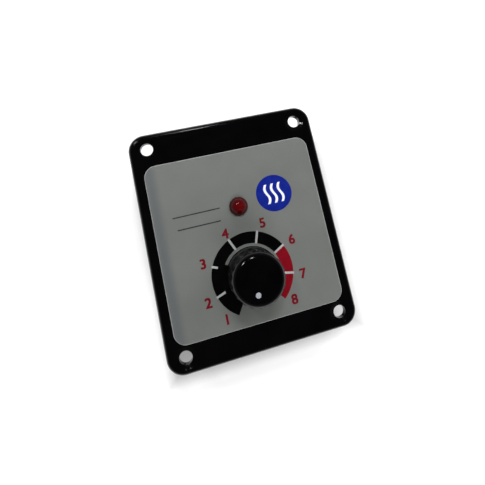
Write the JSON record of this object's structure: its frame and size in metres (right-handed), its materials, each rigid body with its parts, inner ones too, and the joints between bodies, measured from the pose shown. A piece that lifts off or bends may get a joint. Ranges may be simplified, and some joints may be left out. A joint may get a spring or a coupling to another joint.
{
  "type": "impulse heat sealer timer panel",
  "caption": "Timer and lamp panel of an impulse heat sealer: a flanged faceplate with scale, lamp and time dial, circuit board behind and a ventilated rear cover.",
  "frame": {"origin": "on the ground, under the middle of the faceplate, at the base of the rear cover", "axes": "+X to the panel's right, +Y to its top edge, +Z out of its front face, along the dial's axis"},
  "size_m": [0.08, 0.097, 0.0545],
  "materials": {
    "faceplate_plastic": "moulded black ABS, glossy",
    "label_face": "satin grey printed aluminium",
    "lamp_red": "dark red diffusing epoxy",
    "tinned_wire": "tinned copper wire",
    "natural_nylon": "unfilled nylon",
    "knob_plastic": "moulded black phenolic, polished",
    "brass": "turned brass",
    "black_steel": "blackened steel",
    "white_plastic": "white inlay",
    "zinc_plated_steel": "bright zinc plate",
    "die_cast_zinc": "die-cast zinc, nickel plated",
    "phenolic": "brown phenolic paper laminate",
    "tinned_brass": "tinned brass strip",
    "turned_aluminium": "turned aluminium",
    "spring_steel": "spring steel",
    "board_laminate": "green solder mask on laminate",
    "relay_case": "blue moulded case",
    "film_capacitor_case": "red moulded case",
    "capacitor_sleeve": "shrunk PVC sleeve",
    "epoxy_package": "moulded epoxy",
    "resistor_lacquer": "beige lacquer",
    "cover_plastic": "moulded black ABS, fine texture"
  },
  "bodies": {
    "panel": {"faceplate": "faceplate_plastic", "scale_label": "label_face", "lamp_lens": "lamp_red", "lamp_leads": "tinned_wire", "lamp_spacer": "natural_nylon", "pot_nut": "zinc_plated_steel", "pot_lock_washer": "zinc_plated_steel", "pot_bush": "die_cast_zinc", "pot_can": "zinc_plated_steel", "pot_track_wafer": "phenolic", "pot_terminals": "tinned_brass", "circuit_board": "board_laminate", "board_screws": "zinc_plated_steel", "relay": "relay_case", "film_capacitor": "film_capacitor_case", "smoothing_capacitor": "capacitor_sleeve", "timing_capacitor": "capacitor_sleeve", "timer_ic": "epoxy_package", "driver_transistor": "epoxy_package", "rectifier_diodes": "epoxy_package", "resistors": "resistor_lacquer", "terminal_block": "natural_nylon", "blade_terminals": "tinned_brass", "rear_cover": "cover_plastic", "cover_screws": "zinc_plated_steel"},
    "dial": {"knob": "knob_plastic", "knob_insert": "brass", "knob_grub_screw": "black_steel", "knob_marker": "white_plastic", "pot_shaft": "turned_aluminium", "pot_shaft_clip": "spring_steel", "pot_wiper": "natural_nylon"}
  },
  "joints": [
    {"name": "dial_turn", "type": "hinge", "parent": "panel", "child": "dial", "pos_m": [0, -0.0175, 0.04], "axis": [0, 0, 1], "range_deg": [-300, 0]}
  ]
}
